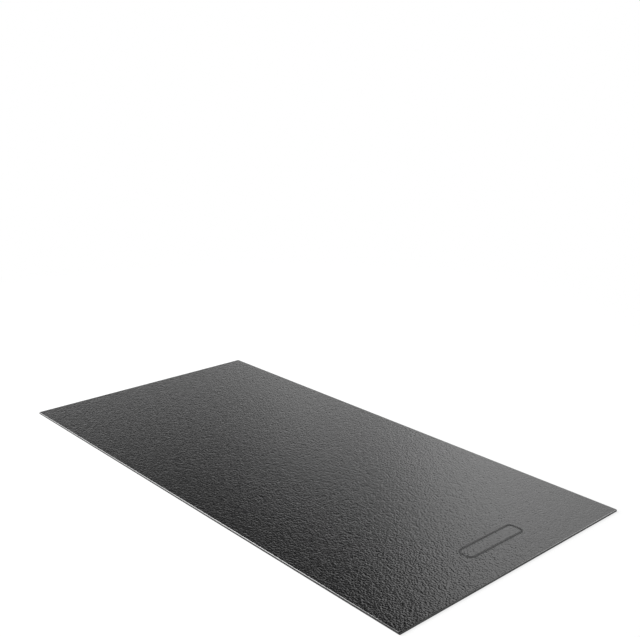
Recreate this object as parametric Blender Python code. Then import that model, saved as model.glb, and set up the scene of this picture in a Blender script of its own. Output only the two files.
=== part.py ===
# Bike trainer mat: one thick black sheet that lies flat, with a rounded top edge.
# A blank label outline is pressed into the top near one end.
# The origin is on the ground under the middle of the mat. +X runs along the mat
# towards the label, +Y across it, and +Z up. All sizes are in metres.

import math

import bmesh
import bpy

# The sheet
LENGTH = 1.8288
WIDTH = 0.9144
THICKNESS = 0.00635
CORNER_RADIUS = 0.0030  # upright corners, seen from above
TOP_ROUND = 0.0024  # round-over of the top edge
BOTTOM_BREAK = 0.0006  # the bottom edge is only just softened

# The label outline, a round-bottomed groove
LABEL_LENGTH = 0.236  # across the mat, outside the groove
LABEL_WIDTH = 0.058  # along the mat, outside the groove
LABEL_RADIUS = 0.020
LABEL_MARGIN = 0.100  # from the end of the mat to the groove
LABEL_OFFSET = 0.036  # from the mat's centre line towards +Y
GROOVE_WIDTH = 0.009
GROOVE_DEPTH = 0.0013

# Fineness of the curves
CORNER_STEPS = 8
TOP_ROUND_STEPS = 6
BOTTOM_BREAK_STEPS = 2
GROOVE_STEPS = 10
SMALLEST_CORNER = 0.0003  # inner corners are never sharper than this
SMOOTH_BELOW = math.radians(25)

# The finish
RUBBER_COLOUR = (0.022, 0.022, 0.023, 1.0)
RUBBER_ROUGHNESS = 0.42


def clear_scene():
    for old in list(bpy.data.objects):
        bpy.data.objects.remove(old, do_unlink=True)


def rubber():
    material = bpy.data.materials.new("black_rubber")
    material.use_nodes = True
    shader = material.node_tree.nodes["Principled BSDF"]
    shader.inputs["Base Color"].default_value = RUBBER_COLOUR
    shader.inputs["Roughness"].default_value = RUBBER_ROUGHNESS
    shader.inputs["Metallic"].default_value = 0.0
    return material


def outline(size_x, size_y, radius, centre, inset, height):
    """A rectangle with round corners, moved in by inset, anticlockwise from above."""
    corner = max(radius - inset, SMALLEST_CORNER)
    reach_x = size_x / 2 - inset - corner
    reach_y = size_y / 2 - inset - corner
    points = []
    for quarter, (side_x, side_y) in enumerate([(1, 1), (-1, 1), (-1, -1), (1, -1)]):
        for step in range(CORNER_STEPS + 1):
            angle = (quarter + step / CORNER_STEPS) * math.pi / 2
            x = centre[0] + side_x * reach_x + corner * math.cos(angle)
            y = centre[1] + side_y * reach_y + corner * math.sin(angle)
            points.append((x, y, height))
    return points


def edge_profile():
    """How far in and how high the mat's edge runs, from the underside to the top."""
    points = []
    for step in range(BOTTOM_BREAK_STEPS + 1):
        angle = step / BOTTOM_BREAK_STEPS * math.pi / 2
        inset = BOTTOM_BREAK * (1 - math.sin(angle))
        points.append((inset, BOTTOM_BREAK * (1 - math.cos(angle))))
    for step in range(TOP_ROUND_STEPS + 1):
        angle = step / TOP_ROUND_STEPS * math.pi / 2
        inset = TOP_ROUND * (1 - math.cos(angle))
        points.append((inset, THICKNESS - TOP_ROUND * (1 - math.sin(angle))))
    return points


def groove_profile():
    """An arc from the groove's outer rim, through its floor, to its inner rim."""
    half = GROOVE_WIDTH / 2
    radius = (half**2 + GROOVE_DEPTH**2) / (2 * GROOVE_DEPTH)
    reach = math.asin(half / radius)
    points = []
    for step in range(GROOVE_STEPS + 1):
        angle = (2 * step / GROOVE_STEPS - 1) * reach
        drop = radius * (math.cos(angle) - math.cos(reach))
        points.append((half + radius * math.sin(angle), THICKNESS - drop))
    return points


def mat_rings():
    """The mat's closed outlines, from the underside round the edge to the label's field."""
    label_centre = (LENGTH / 2 - LABEL_MARGIN - LABEL_WIDTH / 2, LABEL_OFFSET)
    rings = []
    for inset, height in edge_profile():
        rings.append(outline(LENGTH, WIDTH, CORNER_RADIUS, (0.0, 0.0), inset, height))
    for inset, height in groove_profile():
        rings.append(outline(LABEL_WIDTH, LABEL_LENGTH, LABEL_RADIUS, label_centre, inset, height))
    return rings


def make_mat(material):
    bm = bmesh.new()
    rings = [[bm.verts.new(point) for point in ring] for ring in mat_rings()]
    for lower, upper in zip(rings, rings[1:]):
        for index in range(len(lower)):
            bm.faces.new((lower[index - 1], lower[index], upper[index], upper[index - 1]))
    bm.faces.new(list(reversed(rings[0])))
    bm.faces.new(rings[-1])
    bmesh.ops.recalc_face_normals(bm, faces=bm.faces)
    mesh = bpy.data.meshes.new("mat")
    bm.to_mesh(mesh)
    bm.free()
    mesh.shade_smooth()
    mesh.set_sharp_from_angle(angle=SMOOTH_BELOW)
    mesh.materials.append(material)
    mat = bpy.data.objects.new("mat", mesh)
    bpy.context.scene.collection.objects.link(mat)
    return mat


def main():
    clear_scene()
    make_mat(rubber())


main()
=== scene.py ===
# Bike trainer mat: the finished sheet with its pebbled top, lying on a white studio floor.
import math

import bpy
import numpy as np
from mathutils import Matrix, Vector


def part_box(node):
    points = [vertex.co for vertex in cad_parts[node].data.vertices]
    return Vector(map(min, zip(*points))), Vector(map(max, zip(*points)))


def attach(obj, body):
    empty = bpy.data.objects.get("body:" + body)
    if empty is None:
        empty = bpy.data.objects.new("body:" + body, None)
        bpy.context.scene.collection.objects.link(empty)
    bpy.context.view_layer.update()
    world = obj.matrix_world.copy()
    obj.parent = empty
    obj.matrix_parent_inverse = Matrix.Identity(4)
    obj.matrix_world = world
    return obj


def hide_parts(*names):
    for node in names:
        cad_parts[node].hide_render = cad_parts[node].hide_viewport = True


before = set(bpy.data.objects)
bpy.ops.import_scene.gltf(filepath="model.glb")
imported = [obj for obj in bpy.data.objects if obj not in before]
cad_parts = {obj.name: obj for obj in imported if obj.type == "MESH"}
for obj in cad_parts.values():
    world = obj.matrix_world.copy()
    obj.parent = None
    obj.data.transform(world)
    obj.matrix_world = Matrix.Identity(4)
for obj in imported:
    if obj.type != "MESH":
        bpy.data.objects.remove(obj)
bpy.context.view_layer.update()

matLow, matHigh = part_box("mat")
length, width, thickness = (float(high - low) for low, high in zip(matLow, matHigh))
print("frame loaded: mat", round(length, 4), round(width, 4), round(thickness, 5))


# Helpers for nodes

def addNode(tree, kind, settings=None, **inputs):
    # A node with its settings. Inputs are values or sockets to link from, by name or as in0, in1.
    node = tree.nodes.new(kind)
    for name, value in (settings or {}).items():
        setattr(node, name, value)
    for name, value in inputs.items():
        socket = node.inputs[int(name[2:]) if name.startswith("in") else name.replace("_", " ")]
        if isinstance(value, bpy.types.NodeSocket):
            tree.links.new(value, socket)
        else:
            socket.default_value = value
    return node


def compute(tree, operation, first, second=0.0, third=0.0):
    # One step of arithmetic, as the socket that holds its result.
    node = addNode(tree, "ShaderNodeMath", {"operation": operation}, in0=first, in1=second, in2=third)
    return node.outputs[0]


def fade(tree, value, fromLow, fromHigh, toLow=0.0, toHigh=1.0):
    # A soft step: toLow up to fromLow, toHigh from fromHigh on.
    node = addNode(
        tree, "ShaderNodeMapRange", {"interpolation_type": "SMOOTHSTEP", "clamp": True},
        Value=value, From_Min=fromLow, From_Max=fromHigh, To_Min=toLow, To_Max=toHigh,
    )
    return node.outputs["Result"]


def newGroup(name, inputs, outputs):
    # An empty shader group with its named sockets. inputs: (name, kind, value).
    tree = bpy.data.node_groups.new(name, "ShaderNodeTree")
    for socketName, kind, value in inputs:
        socket = tree.interface.new_socket(socketName, in_out="INPUT", socket_type=kind)
        if value is not None:
            socket.default_value = value
    for socketName, kind in outputs:
        tree.interface.new_socket(socketName, in_out="OUTPUT", socket_type=kind)
    return tree, tree.nodes.new("NodeGroupInput"), tree.nodes.new("NodeGroupOutput")


def newMaterial(name):
    material = bpy.data.materials.new(name)
    material.use_nodes = True
    tree = material.node_tree
    tree.nodes.clear()
    shader = tree.nodes.new("ShaderNodeBsdfPrincipled")
    output = tree.nodes.new("ShaderNodeOutputMaterial")
    tree.links.new(shader.outputs["BSDF"], output.inputs["Surface"])
    return material, tree, shader


# Effects shared by the mat's materials

def makeStippleGroup():
    # A fine matt stipple, as a blasted mould leaves it.
    tree, given, result = newGroup(
        "fineStipple",
        [("Vector", "NodeSocketVector", None), ("Grain Size", "NodeSocketFloat", 0.0025)],
        [("Height", "NodeSocketFloat")],
    )
    perGrain = compute(tree, "DIVIDE", 1.0, given.outputs["Grain Size"])
    grain = addNode(tree, "ShaderNodeTexNoise", Vector=given.outputs["Vector"],
                    Scale=perGrain, Detail=1.5, Roughness=0.5)
    tree.links.new(grain.outputs["Fac"], result.inputs["Height"])
    return tree


def makeDriftGroup():
    # Slow changes of tone and of shine over the sheet, from mixing and pressing.
    tree, given, result = newGroup(
        "toneDrift",
        [("Vector", "NodeSocketVector", None), ("Color", "NodeSocketColor", (0.02, 0.02, 0.02, 1.0)),
         ("Tone Change", "NodeSocketFloat", 0.15), ("Shine Change", "NodeSocketFloat", 0.04)],
        [("Color", "NodeSocketColor"), ("Shine", "NodeSocketFloat")],
    )
    cloudsPerMetre = 5.0
    slow = addNode(tree, "ShaderNodeTexNoise", Vector=given.outputs["Vector"],
                   Scale=cloudsPerMetre, Detail=4.0, Roughness=0.55)
    centred = compute(tree, "SUBTRACT", slow.outputs["Fac"], 0.5)
    gain = compute(tree, "MULTIPLY_ADD", centred, given.outputs["Tone Change"], 1.0)
    tinted = addNode(tree, "ShaderNodeVectorMath", {"operation": "SCALE"},
                     Vector=given.outputs["Color"], Scale=gain).outputs[0]
    tree.links.new(tinted, result.inputs["Color"])
    shine = compute(tree, "MULTIPLY", centred, given.outputs["Shine Change"])
    tree.links.new(shine, result.inputs["Shine"])
    return tree


stippleGroup = makeStippleGroup()
driftGroup = makeDriftGroup()


def useGroup(tree, group, **inputs):
    return addNode(tree, "ShaderNodeGroup", {"node_tree": group}, **inputs)


# Materials

topFinish = {
    "color": (0.008, 0.008, 0.0083, 1.0),
    "roughness": 0.08,
    "ior": 1.5,
    "bloom": 0.3,  # share of the surface under a half-matt film
    "bloomRoughness": 0.276,
    "cellSize": 0.006,  # metres from pebble to pebble
    "wobble": 0.6,  # how far noise pushes the cells about
    "wobbleScale": 1.3,  # of that noise, in waves to a cell
    "lumps": 0.9,  # height of the noise's lumps against the domes
    "lumpScale": 1.25,
    "smoothness": 0.35,  # how softly neighbouring domes meet
    "creaseWidth": 0.22,  # as a share of a cell
    "creaseDepth": 0.06,  # as a share of the pebbles' height
    "pebbleHeight": 0.00046,  # metres
    "creaseRoughness": 0.02,  # added in the creases
    "grooveRoughness": 0.4,  # added in the label groove
    "grainSize": 0.0026,  # of the fine stipple, metres
    "grainHeight": 0.000005,
    "toneChange": 0.25,
    "shineChange": 0.03,
}


def addPebbles(tree, place, finish):
    # Embossed pebble grain, as a height in metres and a mask of its creases. Each cell is a low dome
    # that falls with the squared distance from its middle, with a narrow crease round it. Noise
    # pushes the cells about and adds lumps of the same size.
    cells = addNode(tree, "ShaderNodeVectorMath", {"operation": "SCALE"},
                    Vector=place, Scale=1 / finish["cellSize"]).outputs[0]
    push = addNode(tree, "ShaderNodeTexNoise", Vector=cells,
                   Scale=finish["wobbleScale"], Detail=2.0, Roughness=0.6)
    centred = addNode(tree, "ShaderNodeVectorMath", {"operation": "SUBTRACT"},
                      in0=push.outputs["Color"], in1=(0.5, 0.5, 0.5)).outputs[0]
    pushed = addNode(tree, "ShaderNodeVectorMath", {"operation": "SCALE"},
                     Vector=centred, Scale=finish["wobble"]).outputs[0]
    where = addNode(tree, "ShaderNodeVectorMath", {"operation": "ADD"},
                    in0=cells, in1=pushed).outputs[0]
    middle = addNode(tree, "ShaderNodeTexVoronoi", {"feature": "SMOOTH_F1"},
                     Vector=where, Scale=1.0, Smoothness=finish["smoothness"], Randomness=1.0)
    edge = addNode(tree, "ShaderNodeTexVoronoi", {"feature": "DISTANCE_TO_EDGE"},
                   Vector=where, Scale=1.0, Randomness=1.0)
    crease = fade(tree, edge.outputs["Distance"], 0.0, finish["creaseWidth"], 1.0, 0.0)
    squared = compute(tree, "POWER", middle.outputs["Distance"], 2.0)
    lumps = addNode(tree, "ShaderNodeTexNoise", Vector=cells,
                    Scale=finish["lumpScale"], Detail=1.5, Roughness=0.45)
    raised = compute(tree, "MULTIPLY", lumps.outputs["Fac"], finish["lumps"])
    domed = compute(tree, "SUBTRACT", raised, squared)
    height = compute(tree, "MULTIPLY_ADD", crease, -finish["creaseDepth"], domed)
    return compute(tree, "MULTIPLY", height, finish["pebbleHeight"]), crease


def makeTopMaterial(finish):
    material, tree, shader = newMaterial("pebbledRubber")
    place = tree.nodes.new("ShaderNodeTexCoord").outputs["Object"]
    share = addNode(tree, "ShaderNodeAttribute", {"attribute_name": "grainShare"}).outputs["Fac"]
    pebbles, crease = addPebbles(tree, place, finish)
    stipple = useGroup(tree, stippleGroup, Vector=place, Grain_Size=finish["grainSize"])
    drift = useGroup(tree, driftGroup, Vector=place, Color=finish["color"],
                     Tone_Change=finish["toneChange"], Shine_Change=finish["shineChange"])
    pebbled = addNode(tree, "ShaderNodeBump", Strength=1.0, Distance=1.0,
                      Height=compute(tree, "MULTIPLY", pebbles, share)).outputs["Normal"]
    fine = compute(tree, "MULTIPLY", stipple.outputs["Height"], finish["grainHeight"])
    bump = addNode(tree, "ShaderNodeBump", Strength=1.0, Distance=1.0, Height=fine, Normal=pebbled)
    creases = compute(tree, "MULTIPLY", crease, finish["creaseRoughness"])
    shine = compute(tree, "ADD", drift.outputs["Shine"], finish["roughness"])
    groove = addNode(tree, "ShaderNodeAttribute", {"attribute_name": "grooveShare"}).outputs["Fac"]
    matt = compute(tree, "MULTIPLY", groove, finish["grooveRoughness"])
    roughness = compute(tree, "ADD", compute(tree, "ADD", shine, creases), matt)
    tree.links.new(drift.outputs["Color"], shader.inputs["Base Color"])
    tree.links.new(roughness, shader.inputs["Roughness"])
    tree.links.new(bump.outputs["Normal"], shader.inputs["Normal"])
    tree.links.new(pebbled, shader.inputs["Coat Normal"])
    shader.inputs["IOR"].default_value = finish["ior"]
    outsideGroove = compute(tree, "SUBTRACT", 1.0, groove)
    bloom = compute(tree, "MULTIPLY", outsideGroove, finish["bloom"])
    tree.links.new(bloom, shader.inputs["Coat Weight"])
    shader.inputs["Coat Roughness"].default_value = finish["bloomRoughness"]
    return material


sideFinish = {
    "color": (0.020, 0.020, 0.0205, 1.0),
    "roughness": 0.55,
    "ior": 1.5,
    "grainSize": 0.0018,
    "grainHeight": 0.00006,
    "toneChange": 0.3,
    "shineChange": 0.15,
}


def makeSideMaterial(finish, name):
    material, tree, shader = newMaterial(name)
    place = tree.nodes.new("ShaderNodeTexCoord").outputs["Object"]
    stipple = useGroup(tree, stippleGroup, Vector=place, Grain_Size=finish["grainSize"])
    drift = useGroup(tree, driftGroup, Vector=place, Color=finish["color"],
                     Tone_Change=finish["toneChange"], Shine_Change=finish["shineChange"])
    height = compute(tree, "MULTIPLY", stipple.outputs["Height"], finish["grainHeight"])
    bump = addNode(tree, "ShaderNodeBump", Strength=1.0, Distance=1.0, Height=height)
    roughness = compute(tree, "ADD", drift.outputs["Shine"], finish["roughness"])
    tree.links.new(drift.outputs["Color"], shader.inputs["Base Color"])
    tree.links.new(roughness, shader.inputs["Roughness"])
    tree.links.new(bump.outputs["Normal"], shader.inputs["Normal"])
    shader.inputs["IOR"].default_value = finish["ior"]
    return material


underFinish = {
    "color": (0.024, 0.024, 0.0245, 1.0),
    "roughness": 0.62,
    "ior": 1.5,
    "grainSize": 0.0034,
    "grainHeight": 0.00012,
    "toneChange": 0.3,
    "shineChange": 0.1,
}

materials = [
    makeTopMaterial(topFinish),
    makeSideMaterial(sideFinish, "cutRubber"),
    makeSideMaterial(underFinish, "plainRubber"),
]
print("materials made:", ", ".join(material.name for material in materials))


# The sheet

sheet = {
    "topRound": 0.0024,  # radius of the rounded top edge
    "bottomBreak": 0.0006,  # radius of the softened bottom edge
    "cornerRadius": 0.0030,  # of the four corners, seen from above
    "pitch": 0.0046,  # spacing of the grid on top
    "cornerSteps": 6,
    "roundSteps": 8,
    "breakSteps": 3,
    "underRim": 0.0015,  # flat band inside the underside's edge
    "unevenness": 0.00004,  # metres, of the pressed surface
    "waves": (0.016, 0.060),  # shortest and longest, metres
    "waveCount": 60,
    "calmEdge": 0.008,  # the surface is level this near an edge
    "grainFade": 0.0012,  # the grain ends within this distance on the rounded edge
    "flush": 0.000001,  # a point this near the top counts as on it
    "seed": 11,
}
label = {
    "length": 0.236,  # across the mat
    "width": 0.058,  # along the mat
    "radius": 0.020,  # of its corners, outside the groove
    "margin": 0.100,  # from the mat's end to the groove
    "offset": 0.036,  # from the centre line
    "grooveWidth": 0.009,
    "grooveDepth": 0.0013,
    "grooveSteps": 16,
    "apron": 0.006,  # least room between the groove and the regular grid
    "apronSteps": 3,
    "lip": 0.0006,  # beside each rim, the groove's matt finish ends within this distance
    "arcCells": 5,  # grid cells on each half of a corner
    "grainInField": 0.8,
    "grainInGroove": 0.08,
}


def uneven(x, y):
    # The sum of waves of random heading, length and phase, scaled to the wanted unevenness.
    random = np.random.default_rng(sheet["seed"])
    count = sheet["waveCount"]
    heading = random.uniform(0.0, 2 * np.pi, count)
    wave = np.exp(random.uniform(*np.log(sheet["waves"]), count))
    phase = random.uniform(0.0, 2 * np.pi, count)
    total = np.zeros_like(x)
    for turn, size, start in zip(heading, wave, phase):
        total += np.cos(2 * np.pi / size * (np.cos(turn) * x + np.sin(turn) * y) + start)
    return total * sheet["unevenness"] / np.sqrt(count / 2)


def softStep(value):
    # 3 t squared minus 2 t cubed, held between 0 and 1.
    t = np.clip(value, 0.0, 1.0)
    return t * t * (3 - 2 * t)


def outlineRing(half, inset, radius, cellsX, cellsY, arcCells):
    # Points round a rectangle with round corners, drawn in by an inset, anticlockwise from the middle
    # of its -X -Y corner. On each side the first and last arcCells steps run along half of a corner
    # arc, the others straight.
    halfX, halfY = half - inset
    radius = radius - inset
    sides = []
    for turn in range(4):
        along, out = (halfX, halfY) if turn % 2 == 0 else (halfY, halfX)
        cells = cellsX if turn % 2 == 0 else cellsY
        step = np.arange(cells, dtype=float)
        first = np.clip(step / arcCells, 0, 1)
        last = np.clip((step - (cells - arcCells)) / arcCells, 0, 1)
        middle = np.clip((step - arcCells) / (cells - 2 * arcCells), 0, 1)
        bend = np.pi / 4 * (last - (1 - first))
        a = (along - radius) * (2 * middle - 1) + radius * np.sin(bend)
        b = out - radius + radius * np.cos(bend)
        sides.append([np.stack([a, -b], 1), np.stack([b, a], 1),
                      np.stack([-a, b], 1), np.stack([-b, -a], 1)][turn])
    return np.concatenate(sides)


def grooveProfile(steps):
    # How far in and how deep the groove runs: an arc through its two rims and its floor.
    half = label["grooveWidth"] / 2
    radius = (half**2 + label["grooveDepth"] ** 2) / (2 * label["grooveDepth"])
    reach = np.arcsin(half / radius)
    angle = np.linspace(-reach, reach, steps + 1)
    return half + radius * np.sin(angle), radius * (np.cos(angle) - np.cos(reach))


def stripFaces(rings):
    # Quads between neighbouring closed rings of vertex numbers, ring by ring.
    low, high = rings[:-1], rings[1:]
    return np.stack([low, np.roll(low, -1, 1), np.roll(high, -1, 1), high], -1).reshape(-1, 4)


def gridFaces(index):
    return np.stack([index[:-1, :-1], index[1:, :-1], index[1:, 1:], index[:-1, 1:]], -1)


def addPoints(store, place, height, grain=1.0, groove=0.0, unfolded=None):
    # Points that share one height, one share of grain and one of groove. Returns their numbers.
    numbers = store["count"] + np.arange(len(place))
    store["count"] += len(place)
    store["place"].append(place)
    store["unfolded"].append(place if unfolded is None else unfolded)
    for name, value in (("height", height), ("grain", grain), ("groove", groove)):
        store[name].append(np.full(len(place), float(value)))
    return numbers


def labelHole(xs, ys, centre, half):
    # The grid lines round the block of cells that the label takes up.
    reach = half + label["apron"]
    lowX, highX = np.searchsorted(xs, centre[0] + np.array([-1, 1]) * reach[0]) - [1, 0]
    lowY, highY = np.searchsorted(ys, centre[1] + np.array([-1, 1]) * reach[1]) - [1, 0]
    return lowX, highX, lowY, highY


def addLabelBand(store, border, centre, half, cellsX, cellsY):
    # An apron that turns the hole's square corners round, the groove, and a lip inside it.
    def ring(inset):
        return centre + outlineRing(half, inset, label["radius"], cellsX, cellsY, label["arcCells"])

    rim, outer = store["place"][0][border], ring(-label["lip"])
    rings = [border]
    for share in np.linspace(0, 1, label["apronSteps"] + 1)[1:]:
        rings.append(addPoints(store, rim * (1 - share) + outer * share, thickness))
    for inset, depth in zip(*grooveProfile(label["grooveSteps"])):
        shallow = 1 - depth / label["grooveDepth"]
        grain = label["grainInGroove"] + (1 - label["grainInGroove"]) * shallow
        rings.append(addPoints(store, ring(inset), thickness - depth, grain, groove=1.0))
    inside = ring(label["grooveWidth"] + label["lip"])
    rings.append(addPoints(store, inside, thickness, label["grainInField"]))
    return np.array(rings)


def fillField(store, index, hole, lastRing):
    # The field inside the groove: lines from each side of the last ring to the side across from it,
    # in both directions, less what the four corners add twice. The hole's own points move there.
    lowX, highX, lowY, highY = hole
    cellsX, cellsY = highX - lowX, highY - lowY
    south, east = lastRing[:cellsX + 1], lastRing[cellsX:cellsX + cellsY + 1]
    north = lastRing[cellsX + cellsY:2 * cellsX + cellsY + 1][::-1]
    west = np.append(lastRing[2 * cellsX + cellsY:], lastRing[0])[::-1]
    place = np.concatenate(store["place"])
    atSouth, atEast, atNorth, atWest = place[south], place[east], place[north], place[west]
    u = np.linspace(0, 1, cellsX + 1)[:, None, None]
    v = np.linspace(0, 1, cellsY + 1)[None, :, None]
    field = (atSouth[:, None] * (1 - v) + atNorth[:, None] * v
             + atWest[None] * (1 - u) + atEast[None] * u
             - (atSouth[0] * (1 - u) * (1 - v) + atSouth[-1] * u * (1 - v)
                + atNorth[0] * (1 - u) * v + atNorth[-1] * u * v))
    inside = index[lowX + 1:highX, lowY + 1:highY].ravel()
    store["place"][0][inside] = field[1:-1, 1:-1].reshape(-1, 2)
    store["grain"][0][inside] = label["grainInField"]
    block = index[lowX:highX + 1, lowY:highY + 1].copy()
    block[:, 0], block[-1, :], block[:, -1], block[0, :] = south, east, north, west
    return gridFaces(block).reshape(-1, 4)


def edgeProfile():
    # How far out and how high the edge runs: a quarter circle down from the top, the upright side,
    # a small quarter circle at the bottom and a flat band underneath.
    bend = np.linspace(0, np.pi / 2, sheet["roundSteps"] + 1)[1:]
    fold = np.linspace(0, np.pi / 2, sheet["breakSteps"] + 1)
    out = np.concatenate([
        sheet["topRound"] * np.sin(bend),
        sheet["topRound"] - sheet["bottomBreak"] * (1 - np.cos(fold)),
        [sheet["topRound"] - sheet["bottomBreak"] - sheet["underRim"]],
    ])
    high = np.concatenate([
        thickness - sheet["topRound"] * (1 - np.cos(bend)),
        sheet["bottomBreak"] * (1 - np.sin(fold)),
        [0.0],
    ])
    return out, high


def addEdge(store, index, flatX, flatY):
    # The grid's border, with a quarter circle at each corner, carried outwards along the profile.
    # One face at each corner closes the top between the grid and the quarter circle.
    flatRadius = sheet["cornerRadius"] - sheet["topRound"]
    sideRuns = [index[1:-1, 0], index[-1, 1:-1], index[-2:0:-1, -1], index[0, -2:0:-1]]
    sideOut = np.array([[0, -1], [1, 0], [0, 1], [-1, 0]])
    reach = np.array([flatX, flatY]) - flatRadius
    corners = np.array([[1, -1], [1, 1], [-1, 1], [-1, -1]]) * reach
    base, outward, numbers = [], [], []
    for turn, run in enumerate(sideRuns):
        base.append(store["place"][0][run])
        outward.append(np.repeat(sideOut[turn][None], len(run), 0))
        numbers.append(run)
        angle = np.linspace(turn - 1, turn, sheet["cornerSteps"] + 1) * np.pi / 2
        spoke = np.stack([np.cos(angle), np.sin(angle)], 1)
        base.append(corners[turn] + flatRadius * spoke)
        outward.append(spoke)
        numbers.append(addPoints(store, base[-1], thickness))
    around = [(index[-2, 0], index[-2, 1], index[-1, 1]),
              (index[-1, -2], index[-2, -2], index[-2, -1]),
              (index[1, -1], index[1, -2], index[0, -2]),
              (index[0, 1], index[1, 1], index[1, 0])]
    cornerFaces = [[before, *numbers[2 * turn + 1], after, across]
                   for turn, (before, across, after) in enumerate(around)]
    base, outward = np.concatenate(base), np.concatenate(outward)
    out, high = edgeProfile()
    travel = np.cumsum(np.hypot(np.diff(np.append(0.0, out)), np.diff(np.append(thickness, high))))
    rings = [np.concatenate(numbers)]
    for step, far in enumerate(travel):
        grain = 1 - softStep(far / sheet["grainFade"])
        rings.append(addPoints(store, base + outward * out[step], high[step], grain,
                               unfolded=base + outward * far))
    return np.array(rings), cornerFaces


def makeSheet():
    # The top is a grid z(x, y). A closed band carries the label's groove, with the grid's own
    # cells squeezed inside it. The edge is one profile carried round the grid's border.
    store = {"count": 0, "place": [], "unfolded": [], "height": [], "grain": [], "groove": []}
    flatX, flatY = length / 2 - sheet["topRound"], width / 2 - sheet["topRound"]
    cellsX, cellsY = round(2 * flatX / sheet["pitch"]), round(2 * flatY / sheet["pitch"])
    xs, ys = np.linspace(-flatX, flatX, cellsX + 1), np.linspace(-flatY, flatY, cellsY + 1)
    top = np.stack(np.meshgrid(xs, ys, indexing="ij"), -1).reshape(-1, 2)
    index = addPoints(store, top, thickness).reshape(cellsX + 1, cellsY + 1)
    centre = np.array([length / 2 - label["margin"] - label["width"] / 2, label["offset"]])
    half = np.array([label["width"] / 2, label["length"] / 2])
    hole = labelHole(xs, ys, centre, half)
    lowX, highX, lowY, highY = hole
    border = np.concatenate([index[lowX:highX, lowY], index[highX, lowY:highY],
                             index[highX:lowX:-1, highY], index[lowX, highY:lowY:-1]])
    bandRings = addLabelBand(store, border, centre, half, highX - lowX, highY - lowY)
    fieldFaces = fillField(store, index, hole, bandRings[-1])
    edgeRings, cornerFaces = addEdge(store, index, flatX, flatY)
    edgeFaces = stripFaces(edgeRings)[:, ::-1]
    cells = gridFaces(index)
    keep = np.ones(cells.shape[:2], bool)
    keep[lowX:highX, lowY:highY] = False
    keep[[0, 0, -1, -1], [0, -1, 0, -1]] = False  # the corner faces take the place of these
    quads = np.concatenate([cells[keep], fieldFaces, stripFaces(bandRings), edgeFaces])
    faces = quads.tolist() + cornerFaces + [edgeRings[-1][::-1].tolist()]

    # The slight unevenness of the top, away from the edges and the label
    flat, level = np.concatenate(store["place"]), np.concatenate(store["height"])
    x, y = flat[:, 0], flat[:, 1]
    fromEdge = np.minimum(flatX - np.abs(x), flatY - np.abs(y))
    fromLabel = np.maximum(np.abs(x - centre[0]) - half[0], np.abs(y - centre[1]) - half[1])
    calm = softStep(fromEdge / sheet["calmEdge"])
    calm = calm * softStep(np.maximum(fromLabel, 0) / sheet["calmEdge"])
    onTop = level > thickness - sheet["flush"]
    level = level + np.where(onTop, calm * uneven(x, y), 0.0)

    mesh = bpy.data.meshes.new("matSheet")
    mesh.from_pydata(np.column_stack([flat, level]), [], faces)
    slots = np.zeros(len(faces), np.int32)
    ringLength = edgeRings.shape[1]
    firstEdge = len(quads) - len(edgeFaces)
    roundEnd = firstEdge + sheet["roundSteps"] * ringLength
    sideEnd = roundEnd + (1 + sheet["breakSteps"]) * ringLength
    slots[roundEnd:sideEnd] = 1  # cut rubber
    slots[sideEnd:len(quads)] = 2  # plain rubber
    slots[-1] = 2
    mesh.polygons.foreach_set("material_index", slots)
    for name, values in (("grainShare", store["grain"]), ("grooveShare", store["groove"])):
        attribute = mesh.attributes.new(name, "FLOAT", "POINT")
        attribute.data.foreach_set("value", np.concatenate(values).astype(np.float32))
    unfold(mesh, np.concatenate(store["unfolded"]), flat)
    return mesh


# Where the unfolded sheet lies in the unit square
flatPattern = {
    "margin": 0.002,
    "wide": 0.996,
    "topTall": 0.66,
    "underFrom": 0.676,
    "underTall": 0.32,
}


def unfold(mesh, above, below):
    # The top with its edge folded outwards fills the lower part of the square, and the underside,
    # turned over, the rest.
    corners = np.zeros(len(mesh.loops), np.int32)
    mesh.loops.foreach_get("vertex_index", corners)
    under = np.zeros(len(corners), bool)
    under[mesh.polygons[-1].loop_start:] = True
    size = np.ptp(above, axis=0)
    place = above[corners] / size + 0.5
    wide, margin = flatPattern["wide"], flatPattern["margin"]
    place = place * [wide, flatPattern["topTall"]] + margin
    flipped = below[corners] / size * [-1, 1] + 0.5
    flipped = flipped * [wide, flatPattern["underTall"]] + [margin, flatPattern["underFrom"]]
    place[under] = flipped[under]
    layer = mesh.uv_layers.new(name="OFBake")
    layer.data.foreach_set("uv", place.astype(np.float32).ravel())


mesh = makeSheet()
for material in materials:
    mesh.materials.append(material)
mesh.shade_smooth()
mesh.update()
print("sheet made:", len(mesh.vertices), "points,", len(mesh.polygons), "faces,",
      sum(len(face.vertices) - 2 for face in mesh.polygons), "triangles")
matSheet = bpy.data.objects.new("matSheet", mesh)
bpy.context.scene.collection.objects.link(matSheet)
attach(matSheet, "root")
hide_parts("mat")


# Camera, as the photograph's outline gives it

shot = {
    "place": (2.2105, -1.8608, 1.3043),
    "azimuth": 48.268,  # degrees anticlockwise from looking along +Y
    "elevation": 16.031,  # degrees down
    "roll": 0.098,
    "focalPixels": 951.5,  # for a picture of this width
    "imageWidth": 640,
    "sensor": 36.0,  # millimetres
    "clip": (0.05, 200.0),
}


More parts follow.
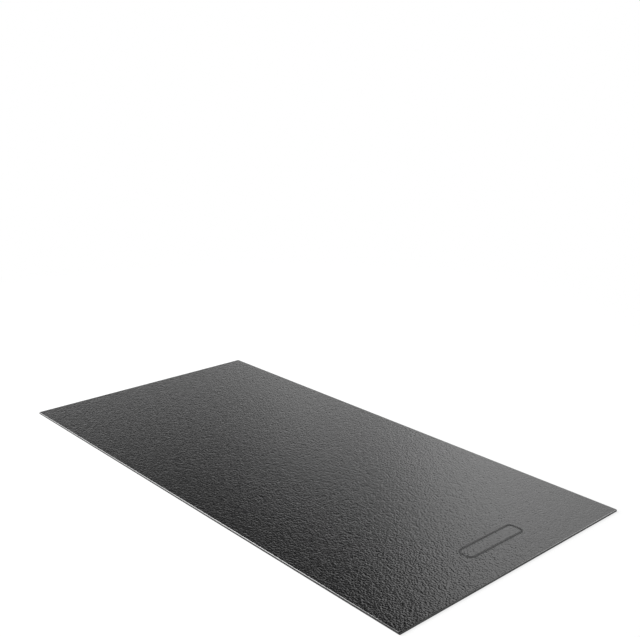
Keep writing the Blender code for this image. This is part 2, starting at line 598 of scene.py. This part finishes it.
def makeCamera():
    camera = bpy.data.cameras.new("camera")
    camera.sensor_fit = "HORIZONTAL"
    camera.sensor_width = shot["sensor"]
    camera.lens = shot["focalPixels"] / shot["imageWidth"] * shot["sensor"]
    camera.clip_start, camera.clip_end = shot["clip"]
    holder = bpy.data.objects.new("camera", camera)
    bpy.context.scene.collection.objects.link(holder)
    holder.location = shot["place"]
    holder.rotation_euler = (math.radians(90 - shot["elevation"]), 0.0, math.radians(shot["azimuth"]))
    bpy.context.view_layer.update()
    holder.rotation_euler.rotate_axis("Z", math.radians(shot["roll"]))
    bpy.context.scene.camera = holder


makeCamera()
print("camera set")


# Studio

studio = {
    "ambient": 0.2,  # the world's level for plain light
    "background": 1.0,  # the white that the camera sees
    # Level of the walls that gloss mirrors, by heading in degrees anticlockwise from +X
    "walls": [(-180, 0.1), (-120, 0.35), (-60, 0.7), (0, 0.55), (40, 0.4), (53, 0.5), (62, 3.6),
              (97, 3.6), (109, 1.12), (118, 0.93), (130.5, 1.42), (132.5, 0.8), (136, 0.92),
              (139.5, 1.1), (144, 0.28), (150, 0.18), (180, 0.15)],
    "brightest": 10.0,  # the level that white stands for in the ramp of the walls
    # Height in degrees at which each wall ends and the dark ceiling starts
    "wallTops": [(-180, 34), (-120, 40), (0, 42), (60, 44.5), (110, 44.5), (126, 38.5), (131.2, 34),
                 (132.6, 25), (137, 25), (143, 24), (146, 24), (150, 26), (180, 30)],
    # Half the height in degrees over which each wall fades into the ceiling
    "wallSoftness": [(-180, 4), (60, 3), (112, 3), (126, 1.2), (131, 0.8), (150, 0.8), (180, 4)],
    "rise": 1.45,  # how many times brighter the walls are high up, between two heights in degrees
    "riseFrom": 24.0,
    "riseTo": 36.0,
    "ceiling": 0.0,
    "overhead": 0.8,  # a pale panel straight above, for gloss only
    "overheadFrom": 56.0,
    "overheadTo": 68.0,
    "horizonGlow": 0.95,  # the foot of every wall is at least this bright
    "glowFrom": 14.0,
    "glowTo": 20.0,
    "floorColor": 0.2,
    "floorLift": 0.822,  # its own light, only for the rays that see or mirror it
    "floorNear": 1.6,  # metres from the middle at which it starts to turn plain white
    "floorFar": 3.0,
    "floorReach": 60.0,
    "floorDrop": 0.0002,  # how far it lies under the mat
}
# Each lamp's heading and elevation in degrees, distance and size in metres, and radiance
softboxes = {
    "keySoftbox": {"heading": 211.0, "elevation": 25.0, "distance": 7.0,
                   "size": (4.6, 4.0), "radiance": 9.0},
    "highSoftbox": {"heading": 196.0, "elevation": 49.5, "distance": 7.0,
                    "size": (4.2, 2.2), "radiance": 14.0},
}


def headingRamp(tree, turn, stops, full):
    # A value for every heading, straight between its stops. A ramp holds no more than 1, so it holds
    # shares of a full value.
    ramp = addNode(tree, "ShaderNodeValToRGB", Fac=turn)
    places = ramp.color_ramp.elements
    while len(places) < len(stops):
        places.new(0.5)
    for place, (heading, value) in zip(places, stops):
        place.position = heading / 360 + 0.5
        place.color = (value / full, value / full, value / full, 1)
    return compute(tree, "MULTIPLY", ramp.outputs["Color"], full)


def makeWorld():
    # White for the camera and a low even level for plain light. Gloss mirrors pale walls of many
    # levels under a dark ceiling.
    world = bpy.data.worlds.new("studio")
    bpy.context.scene.world = world
    world.use_nodes = True
    tree = world.node_tree
    tree.nodes.clear()
    direction = tree.nodes.new("ShaderNodeTexCoord").outputs["Generated"]
    split = addNode(tree, "ShaderNodeSeparateXYZ", Vector=direction)
    heading = compute(tree, "ARCTAN2", split.outputs["Y"], split.outputs["X"])
    turn = compute(tree, "MULTIPLY_ADD", heading, 0.5 / math.pi, 0.5)
    degreesUp = compute(tree, "MULTIPLY", compute(tree, "ARCSINE", split.outputs["Z"]), 180 / math.pi)
    level = headingRamp(tree, turn, studio["walls"], studio["brightest"])
    rise = fade(tree, degreesUp, studio["riseFrom"], studio["riseTo"], 1.0, studio["rise"])
    wall = compute(tree, "MULTIPLY", level, rise)
    glow = fade(tree, degreesUp, studio["glowFrom"], studio["glowTo"], studio["horizonGlow"], 0.0)
    lower = compute(tree, "MAXIMUM", wall, glow)
    straightUp = 90.0
    wallTop = headingRamp(tree, turn, studio["wallTops"], straightUp)
    above = compute(tree, "SUBTRACT", degreesUp, wallTop)
    soft = headingRamp(tree, turn, studio["wallSoftness"], straightUp)
    openShare = fade(tree, above, compute(tree, "MULTIPLY", soft, -1.0), soft, 1.0, 0.0)
    span = compute(tree, "SUBTRACT", lower, studio["ceiling"])
    mirrored = compute(tree, "MULTIPLY_ADD", span, openShare, studio["ceiling"])
    panel = fade(tree, degreesUp, studio["overheadFrom"], studio["overheadTo"],
                 0.0, studio["overhead"])
    mirrored = compute(tree, "MAXIMUM", mirrored, panel)
    light = tree.nodes.new("ShaderNodeLightPath")
    gloss = compute(tree, "MAXIMUM", light.outputs["Is Glossy Ray"],
                    light.outputs["Is Transmission Ray"])
    other = compute(tree, "MULTIPLY", gloss, compute(tree, "SUBTRACT", mirrored, studio["ambient"]))
    unseen = compute(tree, "ADD", other, studio["ambient"])
    extra = compute(tree, "SUBTRACT", studio["background"], unseen)
    strength = compute(tree, "MULTIPLY_ADD", light.outputs["Is Camera Ray"], extra, unseen)
    background = addNode(tree, "ShaderNodeBackground", Color=(1, 1, 1, 1), Strength=strength)
    output = tree.nodes.new("ShaderNodeOutputWorld")
    tree.links.new(background.outputs[0], output.inputs["Surface"])


def makeSoftbox(name, lamp):
    # An area lamp aimed at the mat's middle. Its power is its radiance times pi times its area.
    data = bpy.data.lights.new(name, "AREA")
    data.shape = "RECTANGLE"
    data.size, data.size_y = lamp["size"]
    data.energy = lamp["radiance"] * math.pi * data.size * data.size_y
    holder = bpy.data.objects.new(name, data)
    bpy.context.scene.collection.objects.link(holder)
    a, e = math.radians(lamp["heading"]), math.radians(lamp["elevation"])
    towards = np.array([math.cos(a) * math.cos(e), math.sin(a) * math.cos(e), math.sin(e)])
    holder.location = towards * lamp["distance"]
    holder.rotation_euler = (math.radians(90 - lamp["elevation"]), 0.0, a + math.pi / 2)


def makeFloor():
    # A white floor, clear from below. It takes the mat's shadow and turns plain white further out.
    floorMesh = bpy.data.meshes.new("floor")
    corners = np.array([[-1, -1, 0], [1, -1, 0], [1, 1, 0], [-1, 1, 0]]) * studio["floorReach"]
    corners[:, 2] = -studio["floorDrop"]
    floorMesh.from_pydata(corners, [], [(0, 1, 2, 3)])
    material = bpy.data.materials.new("floorWhite")
    material.use_nodes = True
    tree = material.node_tree
    tree.nodes.clear()
    place = tree.nodes.new("ShaderNodeTexCoord").outputs["Object"]
    away = addNode(tree, "ShaderNodeVectorMath", {"operation": "LENGTH"}, in0=place).outputs["Value"]
    far = fade(tree, away, studio["floorNear"], studio["floorFar"])
    shade = studio["floorColor"]
    diffuse = addNode(tree, "ShaderNodeBsdfDiffuse", Color=(shade, shade, shade, 1))
    light = tree.nodes.new("ShaderNodeLightPath")
    gloss = compute(tree, "MAXIMUM", light.outputs["Is Glossy Ray"],
                    light.outputs["Is Transmission Ray"])
    seen = compute(tree, "MAXIMUM", light.outputs["Is Camera Ray"], gloss)
    lift = addNode(tree, "ShaderNodeEmission",
                   Strength=compute(tree, "MULTIPLY", seen, studio["floorLift"]))
    lit = addNode(tree, "ShaderNodeAddShader", in0=diffuse.outputs[0], in1=lift.outputs[0])
    white = addNode(tree, "ShaderNodeEmission", Strength=studio["background"])
    blend = addNode(tree, "ShaderNodeMixShader", Fac=compute(tree, "MULTIPLY", far, seen),
                    in1=lit.outputs[0], in2=white.outputs[0])
    clear = tree.nodes.new("ShaderNodeBsdfTransparent")
    below = tree.nodes.new("ShaderNodeNewGeometry").outputs["Backfacing"]
    oneSided = addNode(tree, "ShaderNodeMixShader", Fac=below,
                       in1=blend.outputs[0], in2=clear.outputs[0])
    output = tree.nodes.new("ShaderNodeOutputMaterial")
    tree.links.new(oneSided.outputs[0], output.inputs["Surface"])
    floorMesh.materials.append(material)
    floor = bpy.data.objects.new("floor", floorMesh)
    bpy.context.scene.collection.objects.link(floor)


makeWorld()
for name, lamp in softboxes.items():
    makeSoftbox(name, lamp)
makeFloor()
bpy.context.scene.view_settings.view_transform = "Standard"
print("studio made")

bpy.context.view_layer.update()
